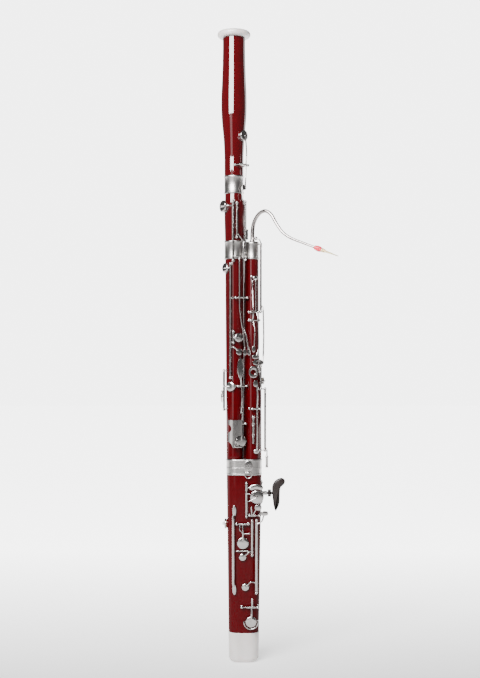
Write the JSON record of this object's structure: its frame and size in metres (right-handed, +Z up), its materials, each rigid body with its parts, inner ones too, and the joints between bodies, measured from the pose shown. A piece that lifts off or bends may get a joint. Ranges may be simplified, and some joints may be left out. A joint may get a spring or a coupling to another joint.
{
  "type": "bassoon",
  "caption": "Upright bassoon in red lacquered wood with nickel-silver keywork, white bell ring and boot cap, curved bocal with reed, sprung keys and a hand rest.",
  "frame": {"origin": "centre of the boot cap's bottom face", "axes": "+Z up along the instrument, -Y the thumb side that faces the player, +X the wing joint's side"},
  "size_m": [0.2505, 0.1335, 1.336],
  "materials": {
    "lacquered_wood": "red-stained maple under glossy lacquer",
    "nickel_silver": "polished nickel-silver keywork",
    "ivory_plastic": "warm white plastic, soft gloss",
    "cork": "waxed tenon cork and pads' backing",
    "hand_rest": "dark brown turned plastic, soft gloss",
    "cane": "scraped reed cane",
    "wire": "soft brass wire",
    "thread": "crimson reed thread, lacquered"
  },
  "bodies": {
    "body": {"bell_body": "lacquered_wood", "bell_ring": "ivory_plastic", "bell_ferrule": "nickel_silver", "bass_joint": "lacquered_wood", "bass_band": "nickel_silver", "wing_joint": "lacquered_wood", "wing_cap": "nickel_silver", "tenon_corks": "cork", "finger_hole_tubes": "nickel_silver", "boot_body": "lacquered_wood", "boot_band": "nickel_silver", "boot_cap": "ivory_plastic", "u_tube": "nickel_silver", "u_tube_gasket": "cork", "bell_posts": "nickel_silver", "bass_posts": "nickel_silver", "wing_posts": "nickel_silver", "boot_posts": "nickel_silver", "pivot_rods": "nickel_silver", "boot_guards": "nickel_silver", "bass_guard": "nickel_silver", "body_lock": "hand_rest", "strap_plate": "nickel_silver", "handrest_socket": "nickel_silver"},
    "bocal": {"bocal_tube": "nickel_silver", "bocal_cork": "cork"},
    "reed": {"reed_cane": "cane", "reed_wires": "wire", "reed_thread": "thread"},
    "strap_ring": {"strap_ring": "nickel_silver"},
    "crutch": {"crutch": "hand_rest"},
    "crutch_screw": {"crutch_screw": "hand_rest"},
    "joint_lock_slide": {"joint_lock_slide": "nickel_silver"},
    "low_b_flat_key": {"low_b_flat_key": "nickel_silver"},
    "bell_link_rod": {"bell_link_rod": "nickel_silver"},
    "low_b_flat_lever": {"low_b_flat_lever": "nickel_silver"},
    "low_b_link_rod": {"low_b_link_rod": "nickel_silver"},
    "low_b_key": {"low_b_key": "nickel_silver"},
    "low_b_lever": {"low_b_lever": "nickel_silver"},
    "low_c_sharp_key": {"low_c_sharp_key": "nickel_silver"},
    "low_c_key": {"low_c_key": "nickel_silver"},
    "low_e_flat_key": {"low_e_flat_key": "nickel_silver"},
    "low_d_lever": {"low_d_lever": "nickel_silver"},
    "low_d_key": {"low_d_key": "nickel_silver"},
    "whisper_key": {"whisper_key": "nickel_silver"},
    "high_a_key": {"high_a_key": "nickel_silver"},
    "high_c_key": {"high_c_key": "nickel_silver"},
    "c_sharp_key": {"c_sharp_key": "nickel_silver"},
    "wing_vent_key": {"wing_vent_key": "nickel_silver"},
    "whisper_bridge": {"whisper_bridge": "nickel_silver"},
    "b_flat_thumb_key": {"b_flat_thumb_key": "nickel_silver"},
    "pancake_key": {"pancake_key": "nickel_silver"},
    "low_e_key": {"low_e_key": "nickel_silver"},
    "f_sharp_thumb_key": {"f_sharp_thumb_key": "nickel_silver"},
    "f_sharp_rod": {"f_sharp_rod": "nickel_silver"},
    "a_flat_thumb_key": {"a_flat_thumb_key": "nickel_silver"},
    "low_f_key": {"low_f_key": "nickel_silver"},
    "g_key": {"g_key": "nickel_silver"},
    "side_trill_key": {"side_trill_key": "nickel_silver"},
    "f_key": {"f_key": "nickel_silver"}
  },
  "joints": [
    {"name": "low_b_flat_key_hinge", "type": "hinge", "parent": "body", "child": "low_b_flat_key", "pos_m": [0.00103, -0.01832, 1.0505], "axis": [-0.6428, -0.766, 0], "range_deg": [0, 2.1], "stiffness_Nm_per_rad": 0.1, "springref_deg": -17.19},
    {"name": "bell_link_rod_hinge", "type": "hinge", "parent": "body", "child": "bell_link_rod", "pos_m": [0.00347, -0.0162, 0.9], "axis": [0, 0, 1], "range_deg": [0, 16], "stiffness_Nm_per_rad": 0.1, "springref_deg": -17.19},
    {"name": "low_b_flat_lever_hinge", "type": "hinge", "parent": "body", "child": "low_b_flat_lever", "pos_m": [-0.00443, -0.02332, 0.77], "axis": [-0.848, -0.5299, 0], "range_deg": [0, 1.3], "stiffness_Nm_per_rad": 0.1, "springref_deg": -17.19},
    {"name": "low_b_link_rod_hinge", "type": "hinge", "parent": "body", "child": "low_b_link_rod", "pos_m": [-0.01448, -0.02763, 0.93], "axis": [0, 0, -1], "range_deg": [0, 9], "stiffness_Nm_per_rad": 0.1, "springref_deg": -17.19},
    {"name": "low_b_key_hinge", "type": "hinge", "parent": "body", "child": "low_b_key", "pos_m": [-0.0228, -0.02774, 0.9], "axis": [0, 0, -1], "range_deg": [0, 4.4], "stiffness_Nm_per_rad": 0.1, "springref_deg": -17.19},
    {"name": "low_b_lever_hinge", "type": "hinge", "parent": "body", "child": "low_b_lever", "pos_m": [-0.00443, -0.02332, 0.77], "axis": [-0.848, -0.5299, 0], "range_deg": [0, 1.3], "stiffness_Nm_per_rad": 0.1, "springref_deg": -17.19},
    {"name": "low_c_sharp_key_hinge", "type": "hinge", "parent": "body", "child": "low_c_sharp_key", "pos_m": [-0.02831, -0.02352, 0.72], "axis": [0, 0, 1], "range_deg": [0, 9.5], "stiffness_Nm_per_rad": 0.1, "springref_deg": -17.19},
    {"name": "low_c_key_hinge", "type": "hinge", "parent": "body", "child": "low_c_key", "pos_m": [-0.02226, -0.02479, 0.687], "axis": [0, 0, 1], "range_deg": [0, 5.9], "stiffness_Nm_per_rad": 0.1, "springref_deg": -17.19},
    {"name": "low_e_flat_key_hinge", "type": "hinge", "parent": "body", "child": "low_e_flat_key", "pos_m": [-0.04199, -0.00616, 0.575], "axis": [0, 0, -1], "range_deg": [0, 7.8], "stiffness_Nm_per_rad": 0.1, "springref_deg": -17.19},
    {"name": "low_d_lever_hinge", "type": "hinge", "parent": "body", "child": "low_d_lever", "pos_m": [-0.00446, -0.02156, 0.584], "axis": [-0.829, -0.5592, 0], "range_deg": [0, 2.2], "stiffness_Nm_per_rad": 0.1, "springref_deg": -17.19},
    {"name": "low_d_key_hinge", "type": "hinge", "parent": "body", "child": "low_d_key", "pos_m": [-0.00703, -0.02252, 0.5045], "axis": [0.8829, 0.4695, 0], "range_deg": [0, 3.8], "stiffness_Nm_per_rad": 0.1, "springref_deg": -17.19},
    {"name": "whisper_key_hinge", "type": "hinge", "parent": "body", "child": "whisper_key", "pos_m": [0.036, -0.00701, 0.8], "axis": [0, 0, -1], "range_deg": [0, 7], "stiffness_Nm_per_rad": 0.1, "springref_deg": -17.19},
    {"name": "high_a_key_hinge", "type": "hinge", "parent": "body", "child": "high_a_key", "pos_m": [0.02361, -0.0198, 0.74], "axis": [0.9659, 0.2588, 0], "range_deg": [0, 1.6], "stiffness_Nm_per_rad": 0.1, "springref_deg": -17.19},
    {"name": "high_c_key_hinge", "type": "hinge", "parent": "body", "child": "high_c_key", "pos_m": [0.02361, -0.0198, 0.7225], "axis": [0.9659, 0.2588, 0], "range_deg": [0, 1.6], "stiffness_Nm_per_rad": 0.1, "springref_deg": -17.19},
    {"name": "c_sharp_key_hinge", "type": "hinge", "parent": "body", "child": "c_sharp_key", "pos_m": [0.03591, -0.01233, 0.6], "axis": [0, 0, -1], "range_deg": [0, 8], "stiffness_Nm_per_rad": 0.1, "springref_deg": -17.19},
    {"name": "wing_vent_key_hinge", "type": "hinge", "parent": "body", "child": "wing_vent_key", "pos_m": [0.0276, -0.01994, 0.536], "axis": [-0.9063, -0.4226, 0], "range_deg": [0, 1.8], "stiffness_Nm_per_rad": 0.1, "springref_deg": -17.19},
    {"name": "whisper_bridge_hinge", "type": "hinge", "parent": "body", "child": "whisper_bridge", "pos_m": [0.04534, -0.00298, 0.5], "axis": [0, 0, 1], "range_deg": [0, 8], "stiffness_Nm_per_rad": 0.1, "springref_deg": -17.19},
    {"name": "b_flat_thumb_key_hinge", "type": "hinge", "parent": "body", "child": "b_flat_thumb_key", "pos_m": [0.0055, -0.028, 0.371], "axis": [0, 0, 1], "range_deg": [0, 6], "stiffness_Nm_per_rad": 0.1, "springref_deg": -17.19},
    {"name": "pancake_key_hinge", "type": "hinge", "parent": "body", "child": "pancake_key", "pos_m": [0.0055, -0.028, 0.351], "axis": [0, 0, 1], "range_deg": [0, 3.5], "stiffness_Nm_per_rad": 0.1, "springref_deg": -17.19},
    {"name": "low_e_key_hinge", "type": "hinge", "parent": "body", "child": "low_e_key", "pos_m": [0, -0.028, 0.294], "axis": [1, 0, 0], "range_deg": [0, 2.4], "stiffness_Nm_per_rad": 0.1, "springref_deg": -17.19},
    {"name": "f_sharp_thumb_key_hinge", "type": "hinge", "parent": "body", "child": "f_sharp_thumb_key", "pos_m": [0.02, -0.0275, 0.312], "axis": [-1, 0, 0], "range_deg": [0, 6], "stiffness_Nm_per_rad": 0.1, "springref_deg": -17.19},
    {"name": "f_sharp_rod_hinge", "type": "hinge", "parent": "body", "child": "f_sharp_rod", "pos_m": [0.017, -0.0275, 0.26], "axis": [0, 0, 1], "range_deg": [0, 6], "stiffness_Nm_per_rad": 0.1, "springref_deg": -17.19},
    {"name": "a_flat_thumb_key_hinge", "type": "hinge", "parent": "body", "child": "a_flat_thumb_key", "pos_m": [0.026, -0.027, 0.22], "axis": [0, 0, 1], "range_deg": [0, 6], "stiffness_Nm_per_rad": 0.1, "springref_deg": -17.19},
    {"name": "low_f_key_hinge", "type": "hinge", "parent": "body", "child": "low_f_key", "pos_m": [0.015, -0.027, 0.119], "axis": [1, 0, 0], "range_deg": [0, 2.9], "stiffness_Nm_per_rad": 0.1, "springref_deg": -17.19},
    {"name": "g_key_hinge", "type": "hinge", "parent": "body", "child": "g_key", "pos_m": [0.012, 0.0275, 0.28], "axis": [0, 0, 1], "range_deg": [0, 4], "stiffness_Nm_per_rad": 0.1, "springref_deg": -17.19},
    {"name": "side_trill_key_hinge", "type": "hinge", "parent": "body", "child": "side_trill_key", "pos_m": [-0.027, 0.02338, 0.27], "axis": [0, 0, -1], "range_deg": [0, 5], "stiffness_Nm_per_rad": 0.1, "springref_deg": -17.19},
    {"name": "f_key_hinge", "type": "hinge", "parent": "body", "child": "f_key", "pos_m": [0.012, 0.0275, 0.13], "axis": [0, 0, 1], "range_deg": [0, 3.6], "stiffness_Nm_per_rad": 0.1, "springref_deg": -17.19},
    {"name": "bocal_turn", "type": "hinge", "parent": "body", "child": "bocal", "pos_m": [0.0183, 0, 0.88], "axis": [0, 0, 1], "range_deg": [-15, 15]},
    {"name": "reed_turn", "type": "hinge", "parent": "bocal", "child": "reed", "pos_m": [0.15251, -0.07136, 0.8695], "axis": [0.8247, -0.4385, -0.3571], "range_deg": [-45, 45]},
    {"name": "strap_ring_swing", "type": "hinge", "parent": "body", "child": "strap_ring", "pos_m": [0.0095, -0.0276, 0.402], "axis": [1, 0, 0], "range_deg": [-75, 15]},
    {"name": "crutch_turn", "type": "hinge", "parent": "body", "child": "crutch", "pos_m": [0.045, 0, 0.3558], "axis": [1, 0, 0], "range_deg": [-40, 40]},
    {"name": "crutch_screw_turn", "type": "hinge", "parent": "crutch", "child": "crutch_screw", "pos_m": [0.054, 0, 0.3558], "axis": [1, 0, 0], "continuous": true},
    {"name": "joint_lock_slide_up", "type": "slide", "parent": "body", "child": "joint_lock_slide", "axis": [0, 0, 1], "range_m": [0, 0.006]}
  ],
  "couplings": [
    {"joint": "low_b_flat_key_hinge", "follows": "low_b_flat_lever_hinge", "ratio": 1.6154},
    {"joint": "bell_link_rod_hinge", "follows": "low_b_flat_lever_hinge", "ratio": 12.308},
    {"joint": "low_b_link_rod_hinge", "follows": "low_b_flat_lever_hinge", "ratio": 6.9231},
    {"joint": "low_b_key_hinge", "follows": "low_b_lever_hinge", "ratio": 3.3846},
    {"joint": "low_d_key_hinge", "follows": "low_d_lever_hinge", "ratio": 1.7273},
    {"joint": "whisper_bridge_hinge", "follows": "pancake_key_hinge", "ratio": 2.2857},
    {"joint": "low_e_key_hinge", "follows": "pancake_key_hinge", "ratio": 0.68571},
    {"joint": "f_sharp_rod_hinge", "follows": "f_sharp_thumb_key_hinge", "ratio": 1},
    {"joint": "low_f_key_hinge", "follows": "f_key_hinge", "ratio": 0.80556}
  ]
}
